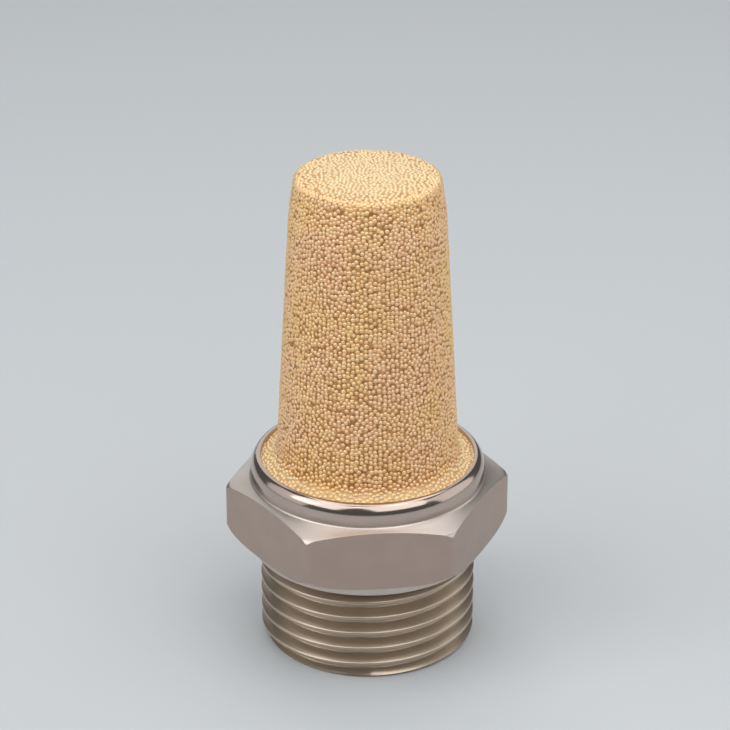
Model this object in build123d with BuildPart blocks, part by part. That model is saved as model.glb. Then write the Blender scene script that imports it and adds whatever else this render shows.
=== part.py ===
from build123d import *
import os
from math import cos, radians, sqrt, tan

os.makedirs("parts", exist_ok=True)

# A pneumatic exhaust muffler in two pieces: a turned hexagonal body with a male pipe thread, and a hollow
# sintered bronze element that the body holds by a rolled lip. All sizes are in millimetres. The origin is
# at the centre of the threaded end face, +Z runs up the axis to the element's crown, and two flats of the
# hexagon face -Y and +Y.

# Male pipe thread, G 3/8, parallel and right-handed; its ridge crosses the plane z = 0 at an angle from +X
thread_diameter = 16.662
thread_pitch = 1.337
flank_angle = 27.5
thread_length = 7.8
lead_chamfer = 0.5
crest_break = 0.2
relief_width = 0.55
relief_depth = 0.05
ridge_start_angle = 262.0

# Hexagon for the spanner, standing on a round bearing boss, its corners rounded below and chamfered above
hex_across_flats = 19.0
hex_height = 5.8
hex_edge_radius = 0.3
bearing_face_width = 0.62
boss_height = 0.8
corner_rounding_height = 1.33
chamfer_angle = 20.0
chamfer_corner_radius = 0.6

# Collar above the hexagon, set in from its flats, with a lip rolled in over the element's flange
collar_height = 1.72
collar_inset = 0.5
collar_wall = 0.5
collar_root_radius = 0.2
lip_roll_height = 1.1
lip_overhang = 0.29
lip_edge_height = 0.2
lip_edge_radius = 0.06
lip_land_width = 0.03

# Gas passage through the body
bore_diameter = 11.5
bore_chamfer = 0.4

# Sintered bronze element: a tapered cup, drawn in more steeply just below its slightly domed crown, and round
# its open end a flange that fits the collar with a little clearance
flange_height = 2.0
flange_bevel_height = 0.3
flange_clearance = 0.03
flange_shoulder_width = 1.42
cone_height = 23.33
cone_half_angle = 3.3
flare_radius = 1.0
crown_taper_height = 3.0
crown_taper_angle = 8.0
crown_taper_blend = 15.0
crown_rise = 0.35
crown_edge_rounding = 0.6
element_wall = 1.9
crown_thickness = 2.2
inner_crown_radius = 1.0

# Thread form: sharp V flanks, cut off flat a sixth of their full height short at the crest and the root
flank_slope = tan(radians(flank_angle))
sharp_height = thread_pitch / (2 * flank_slope)
thread_depth = sharp_height * 2 / 3
crest_width = thread_pitch / 6
thread_radius = thread_diameter / 2
root_radius = thread_radius - thread_depth

# The ridge is wound past both ends of the thread, is rooted a little way inside the core, and is trimmed by
# a profile that clears its crest
ridge_root_depth = thread_depth / 8
ridge_foot_radius = root_radius - ridge_root_depth
ridge_foot_width = thread_pitch - crest_width + 2 * ridge_root_depth * flank_slope
ridge_foot = -thread_pitch * (1 + ridge_start_angle / 360)
trim_clearance = 0.01
trim_radius = thread_radius + trim_clearance

# Heights above the threaded end
thread_top = thread_length - relief_width
boss_top = thread_length + boss_height
rounding_top = boss_top + corner_rounding_height
hex_middle = thread_length + hex_height / 2
hex_top = thread_length + hex_height
lip_top = hex_top + collar_height
lip_shoulder = lip_top - lip_roll_height
flange_top = lip_top - lip_edge_height
bevel_foot = flange_top - flange_bevel_height
seat_height = flange_top - flange_height
crown_top = flange_top + cone_height
crown_edge_height = crown_top - crown_rise
taper_foot_height = crown_edge_height - crown_taper_height

# Radii of the body
hex_corner_radius = hex_across_flats / sqrt(3)
turning_reach = hex_corner_radius + 1
bearing_radius = thread_radius + bearing_face_width
collar_radius = hex_across_flats / 2 - collar_inset
chamfer_foot = hex_top - (hex_corner_radius - collar_radius) * tan(radians(chamfer_angle))
seat_radius = collar_radius - collar_wall
lip_radius = seat_radius - lip_overhang
lip_crest_radius = lip_radius + lip_edge_radius + lip_land_width
bore_radius = bore_diameter / 2

# Radii of the element, whose inside runs parallel to its outside
flange_radius = seat_radius - flange_clearance
cone_slope = tan(radians(cone_half_angle))
wall_run = element_wall / cos(radians(cone_half_angle))
foot_radius = flange_radius - flange_shoulder_width
taper_foot_radius = foot_radius - (taper_foot_height - flange_top) * cone_slope
crown_edge_radius = taper_foot_radius - crown_taper_height * tan(radians(crown_taper_angle))
mouth_radius = foot_radius - wall_run + flange_height * cone_slope
inner_top = crown_top - crown_thickness
inner_edge_radius = foot_radius - wall_run - (inner_top - flange_top) * cone_slope


def ring_edge(piece, radius, height):
    """The circular edge of a piece that runs round the axis at this radius and height."""
    return piece.edges().filter_by(GeomType.CIRCLE).sort_by_distance((radius, 0, height))[0]


# Threaded body, nickel-plated brass turned from hexagonal bar
with BuildPart() as threaded_body:
    # Core of the thread, standing past both ends of it
    with BuildSketch(Plane.XY.offset(ridge_foot - thread_pitch)):
        Circle(root_radius)
    extrude(amount=thread_top - ridge_foot + 3 * thread_pitch)

    # Helical ridge wound round the core
    with BuildLine():
        Helix(
            pitch=thread_pitch,
            height=thread_top - ridge_foot + thread_pitch,
            radius=thread_radius,
            center=(0, 0, ridge_foot),
        )
    with BuildSketch(Plane.XZ):
        with BuildLine():
            Polyline(
                (ridge_foot_radius, ridge_foot - ridge_foot_width / 2),
                (thread_radius, ridge_foot - crest_width / 2),
                (thread_radius, ridge_foot + crest_width / 2),
                (ridge_foot_radius, ridge_foot + ridge_foot_width / 2),
                close=True,
            )
        make_face()
    sweep(is_frenet=True)

    # Core and ridge trimmed to length, with a lead chamfer below and a broken edge above
    with BuildSketch(Plane.XZ):
        with BuildLine():
            Polyline(
                (0, 0),
                (thread_radius - lead_chamfer, 0),
                (trim_radius, lead_chamfer + trim_clearance),
                (trim_radius, thread_top - crest_break - trim_clearance),
                (thread_radius - crest_break, thread_top),
                (0, thread_top),
                close=True,
            )
        make_face()
    revolve(axis=Axis.Z, mode=Mode.INTERSECT)

    # Relief neck, where the thread runs out under the hexagon
    with BuildSketch(Plane.XY.offset(thread_top)):
        Circle(root_radius - relief_depth)
    extrude(amount=relief_width)

    # Hexagon with softened upright edges
    with BuildSketch(Plane.XY.offset(thread_length)) as hexagon:
        RegularPolygon(hex_across_flats / 2, 6, major_radius=False)
        fillet(hexagon.vertices(), radius=hex_edge_radius)
    extrude(amount=hex_height)

    # Metal turned off round the bearing boss and under the hexagon's corners
    with BuildSketch(Plane.XZ):
        with BuildLine():
            Polyline(
                (bearing_radius, boss_top),
                (bearing_radius, thread_length),
                (turning_reach, thread_length),
                (turning_reach, rounding_top),
                (hex_corner_radius, rounding_top),
            )
            EllipticalCenterArc(
                center=(bearing_radius, rounding_top),
                x_radius=hex_corner_radius - bearing_radius,
                y_radius=corner_rounding_height,
                start_angle=-90,
                arc_size=90,
            )
        make_face()
    revolve(axis=Axis.Z, mode=Mode.SUBTRACT)

    # Metal turned off above the hexagon's corners: a shallow chamfer that rounds over at the corner
    with BuildSketch(Plane.XZ) as upper_waste:
        with BuildLine():
            Polyline(
                (collar_radius, hex_top),
                (turning_reach, hex_top),
                (turning_reach, hex_middle),
                (hex_corner_radius, hex_middle),
                (hex_corner_radius, chamfer_foot),
                close=True,
            )
        make_face()
        chamfer_corner = upper_waste.vertices().sort_by_distance((hex_corner_radius, chamfer_foot))[0]
        fillet(chamfer_corner, radius=chamfer_corner_radius)
    revolve(axis=Axis.Z, mode=Mode.SUBTRACT)

    # Collar, still solid: the outside of the rolled lip is a quarter of an ellipse, taller than it is wide
    with BuildSketch(Plane.XZ):
        with BuildLine():
            Polyline(
                (lip_crest_radius, lip_top),
                (0, lip_top),
                (0, hex_top),
                (collar_radius, hex_top),
                (collar_radius, lip_shoulder),
            )
            EllipticalCenterArc(
                center=(lip_crest_radius, lip_shoulder),
                x_radius=collar_radius - lip_crest_radius,
                y_radius=lip_roll_height,
                start_angle=0,
                arc_size=90,
            )
        make_face()
    revolve(axis=Axis.Z)
    fillet(ring_edge(threaded_body, collar_radius, hex_top), radius=collar_root_radius)

    # Inside: chamfered bore, seat for the flange, counterbore and the sloping underside of the lip
    with BuildSketch(Plane.XZ):
        with BuildLine():
            Polyline(
                (0, 0),
                (bore_radius + bore_chamfer, 0),
                (bore_radius, bore_chamfer),
                (bore_radius, seat_height),
                (seat_radius, seat_height),
                (seat_radius, bevel_foot),
                (lip_radius, flange_top),
                (lip_radius, lip_top),
                (0, lip_top),
                close=True,
            )
        make_face()
    revolve(axis=Axis.Z, mode=Mode.SUBTRACT)
    fillet(ring_edge(threaded_body, lip_radius, lip_top), radius=lip_edge_radius)

# Sintered element, porous bronze pressed and sintered as one piece
with BuildPart() as sintered_element:
    with BuildSketch(Plane.XZ) as element_section:
        with BuildLine():
            Polyline(
                (0, inner_top),
                (inner_edge_radius, inner_top),
                (mouth_radius, seat_height),
                (flange_radius, seat_height),
                (flange_radius, bevel_foot),
                (lip_radius, flange_top),
                (foot_radius, flange_top),
                (taper_foot_radius, taper_foot_height),
                (crown_edge_radius, crown_edge_height),
            )
            TangentArc((0, crown_top), (crown_edge_radius, crown_edge_height), tangent=(1, 0))
            Line((0, crown_top), (0, inner_top))
        make_face()
        flare = element_section.vertices().sort_by_distance((foot_radius, flange_top))[0]
        fillet(flare, radius=flare_radius)
        taper_foot = element_section.vertices().sort_by_distance((taper_foot_radius, taper_foot_height))[0]
        fillet(taper_foot, radius=crown_taper_blend)
        crown_edge = element_section.vertices().sort_by_distance((crown_edge_radius, crown_edge_height))[0]
        fillet(crown_edge, radius=crown_edge_rounding)
        inner_edge = element_section.vertices().sort_by_distance((inner_edge_radius, inner_top))[0]
        fillet(inner_edge, radius=inner_crown_radius)
    revolve(axis=Axis.Z)

threaded_body.part.label = "threaded_body"
sintered_element.part.label = "sintered_element"
export_step(threaded_body.part, "parts/threaded_body.step")
export_step(sintered_element.part, "parts/sintered_element.step")
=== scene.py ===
"""Dressed scene of a pneumatic exhaust muffler.

A nickel-plated body, turned from hexagonal brass bar, holds a cup of sintered bronze beads under a rolled
lip. Sizes are in millimetres and become metres where a vertex is placed. The origin is at the centre of the
threaded end, and +Z runs up the axis to the crown.
"""

import logging
import math
from dataclasses import dataclass, field
from enum import Enum
from typing import Any, Callable

import bmesh
import bpy
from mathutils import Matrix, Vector

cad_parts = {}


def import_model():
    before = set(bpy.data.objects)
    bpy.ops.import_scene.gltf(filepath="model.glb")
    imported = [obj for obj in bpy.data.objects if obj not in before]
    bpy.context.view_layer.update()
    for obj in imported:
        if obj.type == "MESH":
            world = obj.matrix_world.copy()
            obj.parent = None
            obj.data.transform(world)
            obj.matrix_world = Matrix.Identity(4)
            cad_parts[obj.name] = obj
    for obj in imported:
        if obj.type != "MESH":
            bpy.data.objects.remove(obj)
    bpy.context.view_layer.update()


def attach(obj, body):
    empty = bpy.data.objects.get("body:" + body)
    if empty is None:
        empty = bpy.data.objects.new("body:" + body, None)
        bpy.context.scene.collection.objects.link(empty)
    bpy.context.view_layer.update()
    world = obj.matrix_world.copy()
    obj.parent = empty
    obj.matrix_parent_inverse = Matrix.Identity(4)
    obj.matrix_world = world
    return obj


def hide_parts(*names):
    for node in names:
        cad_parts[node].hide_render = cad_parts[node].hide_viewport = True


log = logging.getLogger("muffler")

MM = 0.001
FULL_TURN = 2 * math.pi

# Points nearer to each other than this, in millimetres, are one point
MERGE_MM = 0.00002

# Faces of a crisp piece that meet at more than this show an edge
CRISP_ANGLE = math.radians(30.0)

# Mesh attributes: the tone of each bead, and the finish of each part of the plated body, with the faced
# parts' painted sheen
BEAD_TONE = "bead_tone"
ZONE = "zone"

# Sockets of a Mix node that blends two colours, and of a Random Value node
MIX_FIRST, MIX_SECOND, MIX_RESULT = 6, 7, 2
RANDOM_LOW, RANDOM_HIGH, RANDOM_NUMBER, RANDOM_CHOICE = 2, 3, 1, 3

Point = tuple[float, float]
Corner = tuple[Point, float]
Colour = tuple[float, float, float, float]


class Zone(Enum):
    """The finishes of the plated body, with the value that marks each on the mesh; the faced one also
    carries a painted sheen.
    """

    THREAD = 0.0
    FACED = 1 / 3
    SATIN = 2 / 3
    ROLLED = 1.0


class Shading(Enum):
    """How a piece's faces are shaded: smooth all over, or crisp where they meet at an edge."""

    SMOOTH = "smooth"
    CRISP = "crisp"


class Draw(Enum):
    """The random draws made for each bead, with what each adds to the seed."""

    SIZE = 1
    DEPTH = 2
    TONE = 3
    KEPT = 4


def rounded_line(corners: list[Corner], steps: int) -> list[Point]:
    """Rounds the corners of a line of straight runs.

    Args:
        corners: Each corner as (radius, height) in millimetres, with its rounding; 0 leaves it sharp.
        steps: How many chords each rounding is drawn with.

    Returns:
        The points of the line. How many there are depends only on which roundings are 0.
    """
    points = []
    last = len(corners) - 1
    for index, (corner, radius) in enumerate(corners):
        here = Vector(corner)
        if radius == 0 or index in (0, last):
            points.append(tuple(here))
            continue
        back = (Vector(corners[index - 1][0]) - here).normalized()
        ahead = (Vector(corners[index + 1][0]) - here).normalized()
        half = back.angle(ahead) / 2
        run = radius / math.tan(half)
        centre = here + (back + ahead).normalized() * (radius / math.sin(half))
        start = here + back * run - centre
        end = here + ahead * run - centre
        sweep = start.angle(end)
        for share in evenly(0.0, 1.0, steps):
            arm = (start * math.sin((1 - share) * sweep) + end * math.sin(share * sweep)) / math.sin(sweep)
            points.append(tuple(centre + arm))
    return points


def evenly(low: float, high: float, count: int) -> list[float]:
    """Returns count + 1 evenly spaced values from low to high."""
    return [low + (high - low) * step / count for step in range(count + 1)]


class TurnedShell:
    """A closed shell round the Z axis, rolled up from grids whose columns all stand at the same angles."""

    def __init__(self, columns: int, angle_of: Callable[[float], float]) -> None:
        """Starts an empty shell.

        Args:
            columns: How many columns go round the axis.
            angle_of: Gives a column's angle, in radians, from its share of the full turn.
        """
        self.mesh = bmesh.new()
        self.columns = columns
        self.angle_of = angle_of

    def add_band(self, rows: int, place: Callable[[float, int], Point]) -> None:
        """Rolls one grid round the axis.

        Args:
            rows: How many rows of faces the band has.
            place: Gives a ring's (radius, height) in millimetres from an angle and the number of the ring.
        """
        sheet = bmesh.ops.create_grid(self.mesh, x_segments=self.columns, y_segments=rows, size=1.0)
        for vert in sheet["verts"]:
            angle = self.angle_of((vert.co.x + 1) / 2)
            radius, height = place(angle, round((vert.co.y + 1) / 2 * rows))
            vert.co = Vector((radius * math.cos(angle), radius * math.sin(angle), height)) * MM

    def add_profile(self, points: list[Point]) -> None:
        """Rolls a band whose section is the same all round."""
        self.add_band(len(points) - 1, lambda angle, ring: points[ring])

    def close(self) -> bmesh.types.BMesh:
        """Joins the bands where they meet, and turns every face outwards.

        Returns:
            The finished mesh.
        """
        bmesh.ops.remove_doubles(self.mesh, verts=self.mesh.verts, dist=MERGE_MM * MM)
        bmesh.ops.dissolve_degenerate(self.mesh, edges=self.mesh.edges, dist=MERGE_MM * MM)
        bmesh.ops.recalc_face_normals(self.mesh, faces=self.mesh.faces)
        return self.mesh


def make_object(name: str, mesh: bmesh.types.BMesh, shading: Shading) -> bpy.types.Object:
    """Turns a mesh into an object of the scene.

    Args:
        name: The piece's name.
        mesh: Its mesh, which is used up.
        shading: How its faces are shaded.

    Returns:
        The object, at the origin.
    """
    data = bpy.data.meshes.new(name)
    mesh.to_mesh(data)
    mesh.free()
    data.shade_smooth()
    if shading is Shading.CRISP:
        data.set_sharp_from_angle(angle=CRISP_ANGLE)
    piece = bpy.data.objects.new(name, data)
    bpy.context.scene.collection.objects.link(piece)
    return piece


def linear(hex_colour: str) -> Colour:
    """Turns an sRGB colour into a linear one.

    Args:
        hex_colour: The colour as it is seen, such as "#C0B8A8".

    Returns:
        Linear red, green and blue, and an alpha of 1.
    """
    shares = [int(hex_colour[i : i + 2], 16) / 255 for i in (1, 3, 5)]
    values = [s / 12.92 if s <= 0.04045 else ((s + 0.055) / 1.055) ** 2.4 for s in shares]
    return (values[0], values[1], values[2], 1.0)


def add_node(
    tree: bpy.types.NodeTree, kind: str, inputs: dict[str | int, Any] | None = None, **settings: Any
) -> bpy.types.Node:
    """Adds a node with its settings and its inputs.

    Args:
        tree: The node tree that it goes in.
        kind: The node's type, such as "ShaderNodeBump".
        inputs: For each input, by name or number, a value or the output socket that feeds it.
        **settings: Properties of the node, which are set before its inputs.

    Returns:
        The node.
    """
    node = tree.nodes.new(kind)
    for name, value in settings.items():
        setattr(node, name, value)
    for name, value in (inputs or {}).items():
        if isinstance(value, bpy.types.NodeSocket):
            tree.links.new(value, node.inputs[name])
        else:
            node.inputs[name].default_value = value
    return node


def set_stops(ramp: bpy.types.ColorRamp, stops: list[tuple[float, Colour]]) -> None:
    """Gives a colour ramp its stops.

    Args:
        ramp: The ramp.
        stops: Each stop's place, from 0 to 1, and its linear colour.
    """
    elements = ramp.elements
    while len(elements) < len(stops):
        elements.new(0.5)
    for element, (place, colour) in zip(elements, stops):
        element.position = place
        element.color = colour


def start_material(name: str) -> tuple[bpy.types.Material, bpy.types.NodeTree]:
    """Starts a material.

    Args:
        name: The material's name.

    Returns:
        The material, and its node tree with nothing in it.
    """
    material = bpy.data.materials.new(name)
    material.use_nodes = True
    material.node_tree.nodes.clear()
    return material, material.node_tree


@dataclass(frozen=True)
class SatinNickelPlate:
    """Electroplated nickel over turned brass.

    It gives the eye a warm grey metal: brownish and dull on the thread, pale where the boss, the chamfers
    and the lip's edge were faced, satin on the hexagon's flats and the collar, and glossy where the lip was
    rolled. The pale colour is partly the faced metal's own and partly painted sheen, which brightens the
    boss and the chamfers and covers a dark reflection along the lip's edge. Fine turning marks run round the
    axis.
    """

    thread_colour: str = "#BEAE9C"
    # Paler: partly the faced surfaces' own tone, partly painted sheen that brightens them beyond the light
    # they get
    faced_and_sheen_colour: str = "#CCC1B9"
    satin_colour: str = "#B9A599"
    rolled_colour: str = "#C2B1A6"
    thread_roughness: float = 0.33
    faced_roughness: float = 0.34
    satin_roughness: float = 0.36
    rolled_roughness: float = 0.15
    turning_pitch: float = 0.11
    turning_depth: float = 0.0012
    turning_detail: float = 2.0
    turning_unevenness: float = 0.6
    turning_strength: float = 0.3
    cloud_size: float = 2.0
    cloud_detail: float = 3.0
    cloud_shade: float = 0.95
    cloud_low: float = 0.35
    cloud_high: float = 0.65

    def turning_marks(self, tree: bpy.types.NodeTree, place: bpy.types.NodeSocket) -> bpy.types.NodeSocket:
        """Adds the marks that the turning tool left.

        Args:
            tree: The material's node tree.
            place: The object coordinates.

        Returns:
            The normal that they give.
        """
        # Radius and height stand in for the tool's path, so that the marks run round the axis
        parts = add_node(tree, "ShaderNodeSeparateXYZ", {0: place})
        flat = add_node(tree, "ShaderNodeCombineXYZ", {0: parts.outputs["X"], 1: parts.outputs["Y"]})
        radius = add_node(tree, "ShaderNodeVectorMath", {0: flat.outputs[0]}, operation="LENGTH")
        path = add_node(tree, "ShaderNodeCombineXYZ", {0: radius.outputs["Value"], 1: parts.outputs["Z"]})
        grooves = {
            "Vector": path.outputs[0],
            "Scale": 1 / (self.turning_pitch * MM),
            "Detail": self.turning_detail,
            "Roughness": self.turning_unevenness,
        }
        marks = add_node(tree, "ShaderNodeTexNoise", grooves, noise_dimensions="2D")
        relief = {
            "Strength": self.turning_strength,
            "Distance": self.turning_depth * MM,
            "Height": marks.outputs["Fac"],
        }
        return add_node(tree, "ShaderNodeBump", relief).outputs["Normal"]

    def make(self) -> bpy.types.Material:
        """Makes the material, which reads each zone from the mesh.

        Returns:
            The material.
        """
        material, tree = start_material("satin_nickel_plate")
        place = add_node(tree, "ShaderNodeTexCoord").outputs["Object"]
        finish = add_node(tree, "ShaderNodeAttribute", attribute_name=ZONE).outputs["Fac"]
        colours = (self.thread_colour, self.faced_and_sheen_colour, self.satin_colour, self.rolled_colour)
        tone = add_node(tree, "ShaderNodeValToRGB", {"Fac": finish})
        set_stops(tone.color_ramp, [(zone.value, linear(colour)) for zone, colour in zip(Zone, colours)])
        dullness = (self.thread_roughness, self.faced_roughness, self.satin_roughness, self.rolled_roughness)
        sheens = [(zone.value, (rough, rough, rough, 1.0)) for zone, rough in zip(Zone, dullness)]
        gloss = add_node(tree, "ShaderNodeValToRGB", {"Fac": finish})
        set_stops(gloss.color_ramp, sheens)
        clouds = {"Vector": place, "Scale": 1 / (self.cloud_size * MM), "Detail": self.cloud_detail}
        darkening = {
            "Value": add_node(tree, "ShaderNodeTexNoise", clouds).outputs["Fac"],
            "From Min": self.cloud_low,
            "From Max": self.cloud_high,
            "To Min": self.cloud_shade,
        }
        shade = add_node(tree, "ShaderNodeMapRange", darkening).outputs[0]
        shaded = {0: tone.outputs["Color"], "Scale": shade}
        clouded = add_node(tree, "ShaderNodeVectorMath", shaded, operation="SCALE")
        surface = {
            "Base Color": clouded.outputs["Vector"],
            "Metallic": 1.0,
            "Roughness": gloss.outputs["Color"],
            "Normal": self.turning_marks(tree, place),
        }
        metal = add_node(tree, "ShaderNodeBsdfPrincipled", surface)
        add_node(tree, "ShaderNodeOutputMaterial", {"Surface": metal.outputs["BSDF"]})
        return material


@dataclass(frozen=True)
class PunchedAndTopLitFaces:
    """Crown and flange top, flattened by the punch, painted paler: partly their own tone, partly top light.
    """

    flange_height: float = 15.3
    crown_height: float = 38.28
    blend_height: float = 0.4

    def blend(
        self,
        tree: bpy.types.NodeTree,
        place: bpy.types.NodeSocket,
        usual: bpy.types.NodeSocket,
        pressed_and_top_light: str,
        most: float,
    ) -> bpy.types.NodeSocket:
        """Blends a colour paler on the crown and the flange top: partly their own tone, partly painted top
        light.

        Args:
            tree: The material's node tree.
            place: The object coordinates.
            usual: The colour elsewhere.
            pressed_and_top_light: The paler colour.
            most: The largest share of the paler colour, from 0 to 1.

        Returns:
            The blended colour.
        """
        height = add_node(tree, "ShaderNodeSeparateXYZ", {0: place}).outputs["Z"]
        shares = []
        # Painted top light: the paler share rises towards the crown and towards the flange top
        for start, end in (
            (self.crown_height - self.blend_height, self.crown_height),
            (self.flange_height + self.blend_height, self.flange_height),
        ):
            rise = {"Value": height, "From Min": start * MM, "From Max": end * MM, "To Max": most}
            pressing_and_top_light = add_node(tree, "ShaderNodeMapRange", rise, interpolation_type="SMOOTHSTEP")
            shares.append(pressing_and_top_light.outputs[0])
        share = add_node(tree, "ShaderNodeMath", {0: shares[0], 1: shares[1]}, operation="ADD").outputs[0]
        mix = {"Factor": share, MIX_FIRST: usual, MIX_SECOND: linear(pressed_and_top_light)}
        return add_node(tree, "ShaderNodeMix", mix, data_type="RGBA").outputs[MIX_RESULT]


@dataclass(frozen=True)
class BronzeBeads:
    """Round bronze powder fused by sintering.

    It gives the eye pale golden beads, each of its own tone, that catch the light at their tops. Golden and
    rosy patches drift over them. On the crown and the flange, which the punch flattened, they are painted
    paler: partly their own tone there, partly painted top light.
    """

    pale: str = "#FFDFB2"
    common: str = "#FBD39F"
    copper: str = "#EEBF8A"
    common_place: float = 0.45
    golden: str = "#F7D084"
    rosy: str = "#F9CBA6"
    golden_place: float = 0.38
    rosy_place: float = 0.62
    patch_size: float = 3.5
    patch_detail: float = 2.0
    patch_share: float = 0.42
    # Paler on the crown and the flange top: partly the bronze's own tone there, partly painted top light
    pressed_and_top_light: str = "#EBD8B0"
    pressed_and_top_light_share: float = 0.7
    metallic: float = 0.6
    roughness: float = 0.42
    grain_size: float = 0.11
    grain_detail: float = 2.0
    grain_depth: float = 0.01
    grain_strength: float = 0.5

    def make(self) -> bpy.types.Material:
        """Makes the material, which reads each bead's tone from the mesh.

        Returns:
            The material.
        """
        material, tree = start_material("sintered_bronze_beads")
        place = add_node(tree, "ShaderNodeTexCoord").outputs["Object"]
        own = add_node(tree, "ShaderNodeAttribute", attribute_name=BEAD_TONE).outputs["Fac"]
        tones = [
            (0.0, linear(self.copper)),
            (self.common_place, linear(self.common)),
            (1.0, linear(self.pale)),
        ]
        tone = add_node(tree, "ShaderNodeValToRGB", {"Fac": own})
        set_stops(tone.color_ramp, tones)
        drift = {"Vector": place, "Scale": 1 / (self.patch_size * MM), "Detail": self.patch_detail}
        drifting = add_node(tree, "ShaderNodeTexNoise", drift).outputs["Fac"]
        patch = add_node(tree, "ShaderNodeValToRGB", {"Fac": drifting})
        patches = [(self.golden_place, linear(self.golden)), (self.rosy_place, linear(self.rosy))]
        set_stops(patch.color_ramp, patches)
        mix = {
            "Factor": self.patch_share,
            MIX_FIRST: tone.outputs["Color"],
            MIX_SECOND: patch.outputs["Color"],
        }
        patched = add_node(tree, "ShaderNodeMix", mix, data_type="RGBA").outputs[MIX_RESULT]
        grain = {"Vector": place, "Scale": 1 / (self.grain_size * MM), "Detail": self.grain_detail}
        relief = {
            "Strength": self.grain_strength,
            "Distance": self.grain_depth * MM,
            "Height": add_node(tree, "ShaderNodeTexNoise", grain).outputs["Fac"],
        }
        surface = {
            "Base Color": PunchedAndTopLitFaces().blend(tree, place, patched, self.pressed_and_top_light, self.pressed_and_top_light_share),
            "Metallic": self.metallic,
            "Roughness": self.roughness,
            "Normal": add_node(tree, "ShaderNodeBump", relief).outputs["Normal"],
        }
        metal = add_node(tree, "ShaderNodeBsdfPrincipled", surface)
        add_node(tree, "ShaderNodeOutputMaterial", {"Surface": metal.outputs["BSDF"]})
        return material


@dataclass(frozen=True)
class BronzePores:
    """The bronze between and behind the outer beads.

    It gives the eye warm gaps of a porous wall, and a beaded face where no bead is modelled. Its colour is
    painted shade: darker than the beads, and darker still towards each bumped cell's edge, between beads.
    """

    # The pores' colour is painted shade, darker than the beads' tones
    light: str = "#E0AC74"
    painted_pore_shade: str = "#B68252"
    light_place: float = 0.25
    painted_pore_shade_place: float = 0.7
    # Paler on the crown and the flange top: partly the bronze's own tone there, partly painted top light
    pressed_and_top_light: str = "#DEBA88"
    metallic: float = 0.7
    roughness: float = 0.6
    bead_size: float = 0.3
    bead_depth: float = 0.12
    bead_strength: float = 0.8

    def make(self) -> bpy.types.Material:
        """Makes the material.

        Returns:
            The material.
        """
        material, tree = start_material("sintered_bronze_pores_painted_shade")
        place = add_node(tree, "ShaderNodeTexCoord").outputs["Object"]
        spots = {"Vector": place, "Scale": 1 / (self.bead_size * MM)}
        # Painted shade: darker towards the edge of each cell, as between beads where shade falls
        off_middle = add_node(tree, "ShaderNodeTexVoronoi", spots, feature="F1").outputs["Distance"]
        tone = add_node(tree, "ShaderNodeValToRGB", {"Fac": off_middle})
        stops = [(self.light_place, linear(self.light)), (self.painted_pore_shade_place, linear(self.painted_pore_shade))]
        set_stops(tone.color_ramp, stops)
        relief = {"Strength": self.bead_strength, "Distance": self.bead_depth * MM, "Height": off_middle}
        surface = {
            "Base Color": PunchedAndTopLitFaces().blend(tree, place, tone.outputs["Color"], self.pressed_and_top_light, 1.0),
            "Metallic": self.metallic,
            "Roughness": self.roughness,
            "Normal": add_node(tree, "ShaderNodeBump", relief, invert=True).outputs["Normal"],
        }
        metal = add_node(tree, "ShaderNodeBsdfPrincipled", surface)
        add_node(tree, "ShaderNodeOutputMaterial", {"Surface": metal.outputs["BSDF"]})
        return material


@dataclass(frozen=True)
class PaleCard:
    """Matt card under the part. It gives the eye an even pale grey ground."""

    colour: str = "#C4C8CB"
    roughness: float = 0.9

    def make(self) -> bpy.types.Material:
        """Makes the material.

        Returns:
            The material.
        """
        material, tree = start_material("pale_card")
        surface = {"Base Color": linear(self.colour), "Roughness": self.roughness}
        card = add_node(tree, "ShaderNodeBsdfPrincipled", surface)
        add_node(tree, "ShaderNodeOutputMaterial", {"Surface": card.outputs["BSDF"]})
        return material


@dataclass(frozen=True)
class FlangeSeat:
    """Where the element's flange sits in the body, held under the rolled lip."""

    foot: float = 13.12
    bevel_foot: float = 14.82
    top: float = 15.12
    lip_radius: float = 8.21


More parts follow.
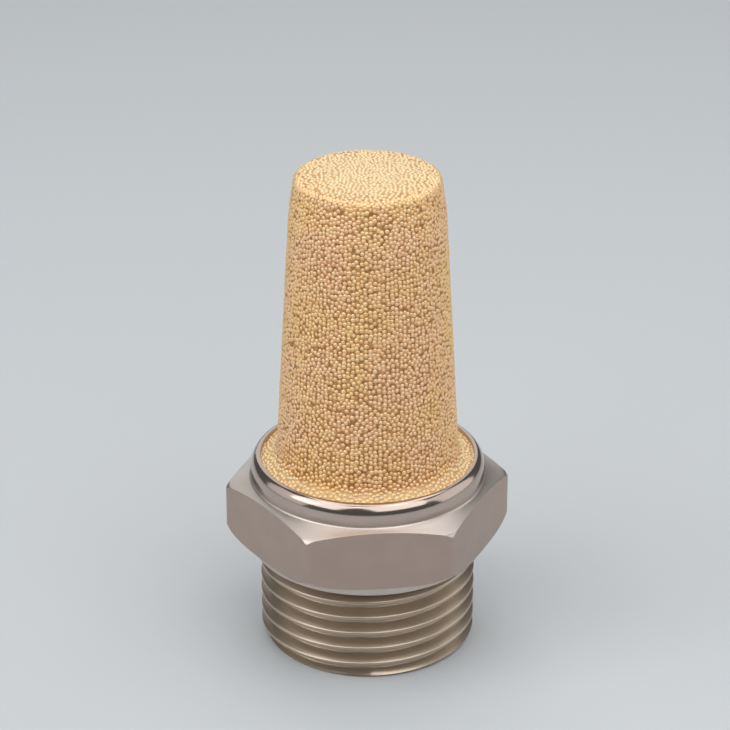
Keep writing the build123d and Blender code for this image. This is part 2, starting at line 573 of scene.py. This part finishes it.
@dataclass
class ThreadedBody:
    """The plated body: pipe thread, relief neck, hexagon, collar with its rolled lip, and bore."""

    seat: FlangeSeat = FlangeSeat()
    thread_radius: float = 8.331
    thread_pitch: float = 1.337
    thread_depth: float = 0.856
    form_radius: float = 0.184
    half_flank_angle: float = 27.5
    lead_chamfer: float = 0.5
    crest_break: float = 0.2
    thread_top: float = 7.25
    ridge_start_angle: float = 262.0
    relief_radius: float = 7.425
    hex_foot: float = 7.8
    hex_top: float = 13.6
    hex_flat: float = 9.5
    hex_edge_radius: float = 0.3
    bearing_radius: float = 8.951
    boss_top: float = 8.6
    rounding_top: float = 9.93
    chamfer_angle: float = 20.0
    chamfer_corner_radius: float = 0.6
    edge_softening: float = 0.035
    inner_rounding: float = 0.05
    collar_radius: float = 9.0
    collar_root_radius: float = 0.2
    lip_top: float = 15.32
    lip_roll_height: float = 1.1
    lip_land_width: float = 0.03
    lip_edge_radius: float = 0.06
    seat_radius: float = 8.5
    bore_radius: float = 5.75
    bore_chamfer: float = 0.4
    sides: int = 6

    # How finely the body is drawn: its columns crowd together at the hexagon's corners, and the thread's
    # rings stand at these shares of the way from the middle of a crest or a root to its rounding's end
    columns: int = 288
    corner_crowding: float = 0.75
    arc_steps: int = 5
    roll_steps: int = 16
    corner_steps: int = 6
    chamfer_share: float = 0.35
    crest_rings: tuple[float, ...] = (0.0, 0.4, 0.75, 1.0)
    root_rings: tuple[float, ...] = (1.0, 0.65, 0.3, 0.0)

    def column_angle(self, share: float) -> float:
        """Gives a column's angle, with the columns crowded at the hexagon's corners.

        Args:
            share: The column's share of the full turn.

        Returns:
            The angle from +X, in radians.
        """
        side = share * self.sides
        along = side - math.floor(side)
        crowded = along - self.corner_crowding * math.sin(FULL_TURN * along) / FULL_TURN
        return (math.floor(side) + crowded) * FULL_TURN / self.sides

    def hexagon_radius(self, angle: float) -> float:
        """Gives how far the hexagon's side, its corners rounded, stands from the axis.

        Args:
            angle: The angle from +X, in radians.

        Returns:
            The distance, in millimetres.
        """
        sector = FULL_TURN / self.sides
        off_corner = abs((angle + sector / 2) % sector - sector / 2)
        off_flat = sector / 2 - off_corner
        centre = (self.hex_flat - self.hex_edge_radius) / math.cos(sector / 2)
        rise, run = self.hex_edge_radius * math.sin(sector / 2), self.hex_edge_radius * math.cos(sector / 2)
        if off_corner >= math.atan2(rise, centre + run):
            return self.hex_flat / math.cos(off_flat)
        return centre * math.cos(off_corner) + math.sqrt(
            self.hex_edge_radius**2 - (centre * math.sin(off_corner)) ** 2
        )

    def corner_rounding(self, side: float) -> list[Point]:
        """Draws the turned rounding under the hexagon, a piece of an ellipse from the boss out to its side.

        Args:
            side: How far the hexagon's side stands from the axis here.

        Returns:
            Points of (radius, height), from the boss outwards.
        """
        width = self.hex_flat / math.cos(math.pi / self.sides) - self.bearing_radius
        height = self.rounding_top - self.boss_top
        reach = math.asin((side - self.bearing_radius) / width)
        return [
            (self.bearing_radius + width * math.sin(turn), self.rounding_top - height * math.cos(turn))
            for turn in evenly(0.0, reach, self.corner_steps)
        ]

    def chamfer_height(self, radius: float) -> float:
        """Gives the height of the upper chamfer, which rounds over at the hexagon's corner.

        Args:
            radius: The distance from the axis.

        Returns:
            The height above the threaded end.
        """
        slope = math.radians(self.chamfer_angle)
        corner = self.hex_flat / math.cos(math.pi / self.sides)
        run = self.chamfer_corner_radius * math.tan((math.pi / 2 - slope) / 2)
        if radius <= corner - run * math.cos(slope):
            return self.hex_top - (radius - self.collar_radius) * math.tan(slope)
        centre = self.hex_top - (corner - self.collar_radius) * math.tan(slope) - run
        off = radius - (corner - self.chamfer_corner_radius)
        return centre + math.sqrt(self.chamfer_corner_radius**2 - off**2)

    def chamfer(self, side: float) -> list[Point]:
        """Draws the outer part of the upper chamfer.

        Args:
            side: How far the hexagon's side stands from the axis here.

        Returns:
            Points of (radius, height), from the side inwards.
        """
        inner = side - self.chamfer_share * (side - self.collar_radius)
        return [(radius, self.chamfer_height(radius)) for radius in evenly(side, inner, self.corner_steps)]

    def roll(self) -> list[Point]:
        """Draws the outside of the rolled lip, a quarter of an ellipse.

        Returns:
            Points of (radius, height), from the collar's side to the lip's top.
        """
        crest = self.seat.lip_radius + self.lip_edge_radius + self.lip_land_width
        width = self.collar_radius - crest
        foot = self.lip_top - self.lip_roll_height
        return [
            (crest + width * math.cos(turn), foot + self.lip_roll_height * math.sin(turn))
            for turn in evenly(0.0, math.pi / 2, self.roll_steps)
        ]

    def rounding_run(self) -> float:
        """Returns how far a crest's or a root's rounding reaches along the axis from its middle."""
        return self.form_radius * math.cos(math.radians(self.half_flank_angle))

    def thread_form(self, off_crest: float) -> float:
        """Gives the thread's radius, with its crests and roots rounded.

        Args:
            off_crest: The distance from a crest's middle, along the axis.

        Returns:
            The distance from the axis.
        """
        flank = math.radians(self.half_flank_angle)
        pitch = self.thread_pitch
        off_crest = abs((off_crest + pitch / 2) % pitch - pitch / 2)
        tangent = self.rounding_run()
        off_root = pitch / 2 - off_crest
        root = self.thread_radius - self.thread_depth
        if off_crest <= tangent:
            return self.thread_radius - self.form_radius + math.sqrt(self.form_radius**2 - off_crest**2)
        if off_root <= tangent:
            return root + self.form_radius - math.sqrt(self.form_radius**2 - off_root**2)
        low = root + self.form_radius * (1 - math.sin(flank))
        high = self.thread_radius - self.form_radius * (1 - math.sin(flank))
        share = (off_crest - tangent) / (pitch / 2 - 2 * tangent)
        return high + (low - high) * share

    def crest_height(self, angle: float) -> float:
        """Returns the height of one crest's middle at an angle; the others are whole pitches away."""
        return self.thread_pitch * (angle - math.radians(self.ridge_start_angle)) / FULL_TURN

    def thread_point(self, angle: float, height: float) -> Point:
        """Gives a point of the thread's surface, within its trimmed ends.

        Args:
            angle: The angle from +X, in radians.
            height: The height, which is held within the thread.

        Returns:
            The point's (radius, height).
        """
        height = min(max(height, 0.0), self.thread_top)
        trimmed = min(
            self.thread_radius - self.lead_chamfer + height,
            self.thread_radius - self.crest_break + self.thread_top - height,
        )
        return (min(self.thread_form(height - self.crest_height(angle)), trimmed), height)

    def thread_rows(self) -> list[float]:
        """Places the thread's rings.

        Returns:
            Heights above one crest, from below the thread's end to above its top.
        """
        tangent = self.rounding_run()
        pitch = self.thread_pitch
        down = [share * tangent for share in self.crest_rings] + [pitch / 4]
        down += [pitch / 2 - share * tangent for share in self.root_rings]
        one = down + [pitch - off for off in reversed(down[1:-1])]
        turns = math.ceil(self.thread_top / pitch) + 1
        return [off + pitch * turn for turn in range(-1, turns + 1) for off in one]

    def section(self, angle: float) -> list[Point]:
        """Draws the body's section, from the thread's top up, over the lip and down the bore.

        Args:
            angle: The angle from +X, in radians.

        Returns:
            Points of (radius, height), as many at every angle.
        """
        side = self.hexagon_radius(angle)
        soft, inner = self.edge_softening, self.inner_rounding
        below, above = self.corner_rounding(side), self.chamfer(side)
        line = [
            (self.thread_point(angle, self.thread_top), 0.0),
            ((self.relief_radius, self.thread_top), 0.0),
            ((self.relief_radius, self.hex_foot), inner),
            ((self.bearing_radius, self.hex_foot), soft),
            *((point, 0.0) for point in below[:-1]),
            (below[-1], soft),
            (above[0], soft),
            *((point, 0.0) for point in above[1:]),
            ((self.collar_radius, self.hex_top), self.collar_root_radius),
            *((point, 0.0) for point in self.roll()),
            ((self.seat.lip_radius, self.lip_top), self.lip_edge_radius),
            ((self.seat.lip_radius, self.seat.top), 0.0),
            ((self.seat_radius, self.seat.bevel_foot), 0.0),
            ((self.seat_radius, self.seat.foot), 0.0),
            ((self.bore_radius, self.seat.foot), inner),
            ((self.bore_radius, self.bore_chamfer), inner),
            ((self.bore_radius + self.bore_chamfer, 0.0), inner),
            (self.thread_point(angle, 0.0), 0.0),
        ]
        return rounded_line(line, self.arc_steps)

    def zone(self, spot: Vector) -> Zone:
        """Tells which finish a point of the body has.

        Args:
            spot: The point, in metres.

        Returns:
            Its finish.
        """
        radius, height = math.hypot(spot.x, spot.y) / MM, spot.z / MM
        if height < self.hex_foot - self.edge_softening:
            return Zone.THREAD
        if height > self.lip_top - self.lip_roll_height:
            # The lip's edge takes the faced colour as painted sheen, covering the dark reflection it would
            # otherwise show
            on_lip_edge = radius <= self.seat.lip_radius + self.lip_edge_radius + MERGE_MM
            return Zone.FACED if on_lip_edge else Zone.ROLLED
        # The satin ends a little way into a flat's softened edges and the collar's rounded root
        on_flat = self.hexagon_radius(math.atan2(spot.y, spot.x)) - radius < self.edge_softening / 4
        on_collar = height > self.hex_top + self.collar_root_radius / 2
        return Zone.SATIN if on_flat or on_collar else Zone.FACED

    def build(self) -> bpy.types.Object:
        """Builds the body.

        Returns:
            The body, dressed, in place of its solid.
        """
        shell = TurnedShell(self.columns, self.column_angle)
        rows = self.thread_rows()
        shell.add_band(
            len(rows) - 1,
            lambda angle, ring: self.thread_point(angle, self.crest_height(angle) + rows[ring]),
        )
        sections: dict[float, list[Point]] = {}

        def place(angle: float, ring: int) -> Point:
            """Gives a point of the section at an angle, where the section is worked out once.

            Args:
                angle: The angle from +X, in radians.
                ring: Which of the section's points.

            Returns:
                The point's (radius, height).
            """
            if angle not in sections:
                sections[angle] = self.section(angle)
            return sections[angle][ring]

        shell.add_band(len(self.section(0.0)) - 1, place)
        body = make_object("plated_body", shell.close(), Shading.CRISP)
        marks = body.data.attributes.new(ZONE, "FLOAT", "POINT")
        marks.data.foreach_set("value", [self.zone(vert.co).value for vert in body.data.vertices])
        body.data.materials.append(SatinNickelPlate().make())
        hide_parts("threaded_body")
        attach(body, "root")
        return body


@dataclass
class SinteredElement:
    """The porous cup: a core painted darker as the shade in its pores, with a skin of separate beads."""

    seat: FlangeSeat = FlangeSeat()
    flange_radius: float = 8.47
    lip_gap: float = 0.02
    foot_radius: float = 7.05
    flare_radius: float = 1.0
    cone_half_angle: float = 3.3
    crown_top: float = 38.45
    crown_taper_height: float = 3.0
    crown_taper_angle: float = 8.0
    crown_taper_blend: float = 15.0
    crown_rise: float = 0.35
    crown_edge_rounding: float = 0.6
    wall: float = 1.9
    crown_thickness: float = 2.2
    hollow_rounding: float = 1.0

    # The beads: the smallest and the largest are shares of the usual size, each is sunk by up to bead_sink,
    # and only its top is modelled, above bead_cut of its radius
    bead_radius: float = 0.22
    smallest_bead: float = 0.85
    largest_bead: float = 1.08
    bead_spacing: float = 0.275
    bead_sink: float = 0.05
    bead_cut: float = 0.4
    bead_share: float = 0.995
    pore_depth: float = 0.12
    seed: int = 7

    # How finely the cup is drawn, and how many places are tried in each square of bead_spacing
    columns: int = 120
    row_height: float = 0.8
    outline_steps: int = 8
    dome_steps: int = 12
    dome_clearance: float = 0.1
    hollow_steps: int = 6
    bead_segments: int = 6
    tries: float = 12.0

    # These follow from the sizes above
    taper_foot_height: float = field(init=False)
    taper_foot_radius: float = field(init=False)
    crown_edge_radius: float = field(init=False)
    inner_top: float = field(init=False)
    mouth_radius: float = field(init=False)
    inner_edge_radius: float = field(init=False)

    def __post_init__(self) -> None:
        """Works out the heights and radii that follow from the sizes."""
        slope = math.tan(math.radians(self.cone_half_angle))
        steep = math.tan(math.radians(self.crown_taper_angle))
        run = self.wall / math.cos(math.radians(self.cone_half_angle))
        self.taper_foot_height = self.crown_top - self.crown_rise - self.crown_taper_height
        self.taper_foot_radius = self.foot_radius - (self.taper_foot_height - self.seat.top) * slope
        self.crown_edge_radius = self.taper_foot_radius - self.crown_taper_height * steep
        self.inner_top = self.crown_top - self.crown_thickness
        self.mouth_radius = self.foot_radius - run + (self.seat.top - self.seat.foot) * slope
        self.inner_edge_radius = self.foot_radius - run - (self.inner_top - self.seat.top) * slope

    def outline(self) -> list[Point]:
        """Draws the outline from the lip to the crown's middle, with rounded corners and a domed crown.

        Returns:
            Points of (radius, height), few on the straight runs.
        """
        edge = self.crown_edge_radius
        dome = (edge**2 + self.crown_rise**2) / (2 * self.crown_rise)
        cap = [
            (dome * math.sin(angle), self.crown_top - dome + dome * math.cos(angle))
            for angle in evenly(math.asin(edge / dome), 0.0, self.dome_steps)
        ]
        corners = [
            ((self.seat.lip_radius - self.lip_gap, self.seat.top), 0.0),
            ((self.foot_radius, self.seat.top), self.flare_radius),
            ((self.taper_foot_radius, self.taper_foot_height), self.crown_taper_blend),
            (cap[0], self.crown_edge_rounding),
            (cap[1], 0.0),
        ]
        rounded = rounded_line(corners, self.outline_steps)[:-1]
        cap_reach = rounded[-1][0] - self.dome_clearance
        return rounded + [point for point in cap if point[0] < cap_reach]

    def skin(self, inset: float) -> list[Point]:
        """Draws the outline with more points on its long runs.

        Args:
            inset: How deep it is set in, in millimetres.

        Returns:
            Points of (radius, height), from the lip to the crown's middle.
        """
        outline = self.outline()
        rows = []
        for start, end in zip(outline, outline[1:]):
            count = max(1, round(math.dist(start, end) / self.row_height))
            radii, heights = evenly(start[0], end[0], count), evenly(start[1], end[1], count)
            rows += zip(radii[:-1], heights[:-1])
        rows.append(outline[-1])
        if not inset:
            return rows
        sunk = []
        for index, (radius, height) in enumerate(rows):
            before, after = rows[max(index - 1, 0)], rows[min(index + 1, len(rows) - 1)]
            along = Vector((after[0] - before[0], after[1] - before[1])).normalized()
            sunk.append((max(radius - along.y * inset, 0.0), height + along.x * inset))
        sunk[-1] = (0.0, self.crown_top - inset)
        return sunk

    def core(self) -> bmesh.types.BMesh:
        """Builds the closed core behind the beads, with the element's hollow.

        Returns:
            The core's mesh.
        """
        skin = self.skin(self.pore_depth)
        inside = [
            ((0.0, self.inner_top), 0.0),
            ((self.inner_edge_radius, self.inner_top), self.hollow_rounding),
            ((self.mouth_radius, self.seat.foot), 0.0),
            ((self.flange_radius, self.seat.foot), 0.0),
            ((self.flange_radius, self.seat.bevel_foot), 0.0),
            ((self.seat.lip_radius, self.seat.top), 0.0),
            ((self.seat.lip_radius - self.lip_gap, self.seat.top), 0.0),
            (skin[0], 0.0),
        ]
        shell = TurnedShell(self.columns, lambda share: share * FULL_TURN)
        shell.add_profile(rounded_line(inside, self.hollow_steps) + skin[1:])
        return shell.close()

    def bead(self) -> bpy.types.Object:
        """Builds the top of one bead.

        Returns:
            The bead, with few faces, its top at the origin and its round side up.
        """
        mesh = bmesh.new()
        bmesh.ops.create_uvsphere(
            mesh, u_segments=self.bead_segments, v_segments=self.bead_segments, radius=self.bead_radius * MM
        )
        below = [vert for vert in mesh.verts if vert.co.z < self.bead_radius * MM * self.bead_cut]
        bmesh.ops.delete(mesh, geom=below, context="VERTS")
        bmesh.ops.translate(mesh, verts=mesh.verts, vec=(0.0, 0.0, -self.bead_radius * MM))
        return make_object("one_bead", mesh, Shading.SMOOTH)

    def scatter(self, bead: bpy.types.Object) -> bpy.types.NodeTree:
        """Makes the node tree that scatters beads evenly over a surface.

        Args:
            bead: The bead to scatter.

        Returns:
            The node tree.
        """
        tree = bpy.data.node_groups.new("bead_scatter", "GeometryNodeTree")
        tree.interface.new_socket("Geometry", in_out="INPUT", socket_type="NodeSocketGeometry")
        tree.interface.new_socket("Geometry", in_out="OUTPUT", socket_type="NodeSocketGeometry")
        ground = add_node(tree, "NodeGroupInput").outputs[0]
        even = {
            "Mesh": ground,
            "Distance Min": self.bead_spacing * MM,
            "Density Max": self.tries / (self.bead_spacing * MM) ** 2,
            "Seed": self.seed,
        }
        spots = add_node(tree, "GeometryNodeDistributePointsOnFaces", even, distribute_method="POISSON")
        shape = add_node(tree, "GeometryNodeObjectInfo", {"Object": bead}).outputs["Geometry"]
        numbers = {}
        for draw, low, high in (
            (Draw.SIZE, self.smallest_bead, self.largest_bead),
            (Draw.DEPTH, -self.bead_sink * MM, 0.0),
            (Draw.TONE, 0.0, 1.0),
        ):
            span = {RANDOM_LOW: low, RANDOM_HIGH: high, "Seed": self.seed + draw.value}
            number = add_node(tree, "FunctionNodeRandomValue", span, data_type="FLOAT")
            numbers[draw] = number.outputs[RANDOM_NUMBER]
        chance = {"Probability": self.bead_share, "Seed": self.seed + Draw.KEPT.value}
        kept = add_node(tree, "FunctionNodeRandomValue", chance, data_type="BOOLEAN").outputs[RANDOM_CHOICE]
        standing = {
            "Points": spots.outputs["Points"],
            "Selection": kept,
            "Instance": shape,
            "Rotation": spots.outputs["Rotation"],
            "Scale": numbers[Draw.SIZE],
        }
        placed = add_node(tree, "GeometryNodeInstanceOnPoints", standing).outputs[0]
        down = add_node(tree, "ShaderNodeCombineXYZ", {2: numbers[Draw.DEPTH]}).outputs[0]
        move = {"Instances": placed, "Translation": down, "Local Space": True}
        sunk = add_node(tree, "GeometryNodeTranslateInstances", move).outputs[0]
        mark = {"Geometry": sunk, "Name": BEAD_TONE, "Value": numbers[Draw.TONE]}
        toned = add_node(tree, "GeometryNodeStoreNamedAttribute", mark, data_type="FLOAT", domain="INSTANCE")
        real = add_node(tree, "GeometryNodeRealizeInstances", {0: toned.outputs[0]})
        add_node(tree, "NodeGroupOutput", {0: real.outputs[0]})
        return tree

    def beads(self) -> bpy.types.Mesh:
        """Builds all the beads.

        Returns:
            Their mesh, with each bead's own tone.
        """
        shell = TurnedShell(self.columns, lambda share: share * FULL_TURN)
        shell.add_profile(self.skin(0.0))
        ground = make_object("bead_ground", shell.close(), Shading.SMOOTH)
        bead = self.bead()
        tree = self.scatter(bead)
        ground.modifiers.new("beads", "NODES").node_group = tree
        depsgraph = bpy.context.evaluated_depsgraph_get()
        mesh = bpy.data.meshes.new_from_object(ground.evaluated_get(depsgraph), depsgraph=depsgraph)
        bpy.data.objects.remove(ground)
        bpy.data.objects.remove(bead)
        bpy.data.node_groups.remove(tree)
        return mesh

    def build(self) -> bpy.types.Object:
        """Builds the element.

        Returns:
            The element, dressed, in place of its solid.
        """
        core = self.core()
        beads = self.beads()
        for polygon in beads.polygons:
            polygon.material_index = 1
        core.from_mesh(beads)
        bpy.data.meshes.remove(beads)
        element = make_object("sintered_cup", core, Shading.SMOOTH)
        element.data.materials.append(BronzePores().make())
        element.data.materials.append(BronzeBeads().make())
        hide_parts("sintered_element")
        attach(element, "root")
        return element


@dataclass(frozen=True)
class Softbox:
    """A square lamp with an even white face, its side in millimetres and its power in watts."""

    name: str
    place: tuple[float, float, float]
    side: float
    power: float

    def hang(self, aim: Vector) -> None:
        """Hangs the lamp in its place.

        Args:
            aim: The point that it is turned to, in metres.
        """
        data = bpy.data.lights.new(self.name, "AREA")
        data.shape = "SQUARE"
        data.size = self.side * MM
        data.energy = self.power
        lamp = bpy.data.objects.new(self.name, data)
        lamp.location = Vector(self.place) * MM
        lamp.rotation_euler = (lamp.location - aim).to_track_quat("Z", "Y").to_euler()
        bpy.context.scene.collection.objects.link(lamp)


@dataclass
class Studio:
    """The pale floor, the soft lights and the camera, with angles in degrees."""

    camera_distance: float = 205.0
    camera_elevation: float = 25.62
    camera_azimuth: float = -5.47
    camera_nearest: float = 10.0
    focal_pixels: float = 2713.0
    picture_pixels: float = 730.0
    sensor_width: float = 36.0
    target: tuple[float, float, float] = (-0.196, 0.019, 22.688)
    floor_size: float = 4000.0
    world_colour: str = "#CACED1"
    world_strength: float = 0.2
    lamp_aim: tuple[float, float, float] = (0.0, 0.0, 18.0)
    lamps: list[Softbox] = field(
        default_factory=lambda: [
            Softbox("top_softbox", (25.0, 60.0, 340.0), 300.0, 0.46),
            Softbox("left_softbox", (-186.0, -107.0, 241.0), 280.0, 0.4),
            Softbox("right_softbox", (97.0, -183.0, 248.0), 280.0, 0.4),
            Softbox("left_side_softbox", (-330.0, 0.0, 170.0), 340.0, 0.25),
            Softbox("right_side_softbox", (330.0, 0.0, 170.0), 340.0, 0.33),
            Softbox("back_softbox", (0.0, 600.0, 330.0), 600.0, 0.9),
        ]
    )

    def add_floor(self) -> None:
        """Lays the floor under the part."""
        mesh = bmesh.new()
        bmesh.ops.create_grid(mesh, x_segments=1, y_segments=1, size=self.floor_size * MM / 2)
        floor = make_object("floor", mesh, Shading.SMOOTH)
        floor.data.materials.append(PaleCard().make())

    def add_world(self) -> None:
        """Fills the room with soft grey light."""
        world = bpy.data.worlds.new("soft_room")
        world.use_nodes = True
        tree = world.node_tree
        tree.nodes.clear()
        light = {"Color": linear(self.world_colour), "Strength": self.world_strength}
        room = add_node(tree, "ShaderNodeBackground", light)
        add_node(tree, "ShaderNodeOutputWorld", {"Surface": room.outputs[0]})
        bpy.context.scene.world = world

    def add_camera(self) -> None:
        """Sets the camera at the photograph's angle."""
        data = bpy.data.cameras.new("camera")
        data.sensor_width = self.sensor_width
        data.lens = self.focal_pixels / self.picture_pixels * self.sensor_width
        data.clip_start = self.camera_nearest * MM
        camera = bpy.data.objects.new("camera", data)
        turn, rise = math.radians(self.camera_azimuth), math.radians(self.camera_elevation)
        back = Vector((math.sin(turn) * math.cos(rise), -math.cos(turn) * math.cos(rise), math.sin(rise)))
        camera.location = (Vector(self.target) + back * self.camera_distance) * MM
        camera.rotation_euler = back.to_track_quat("Z", "Y").to_euler()
        bpy.context.scene.collection.objects.link(camera)
        bpy.context.scene.camera = camera

    def build(self) -> None:
        """Sets up the whole studio."""
        self.add_floor()
        for lamp in self.lamps:
            lamp.hang(Vector(self.lamp_aim) * MM)
        self.add_world()
        self.add_camera()
        bpy.context.scene.view_settings.view_transform = "Standard"


def main() -> None:
    """Builds the muffler and its studio."""
    logging.basicConfig(level=logging.INFO, format="%(name)s: %(message)s")
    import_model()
    for sub_assembly in (ThreadedBody(), SinteredElement()):
        piece = sub_assembly.build()
        log.info("%s: %d faces", piece.name, len(piece.data.polygons))
    Studio().build()


if __name__ == "__main__":
    main()
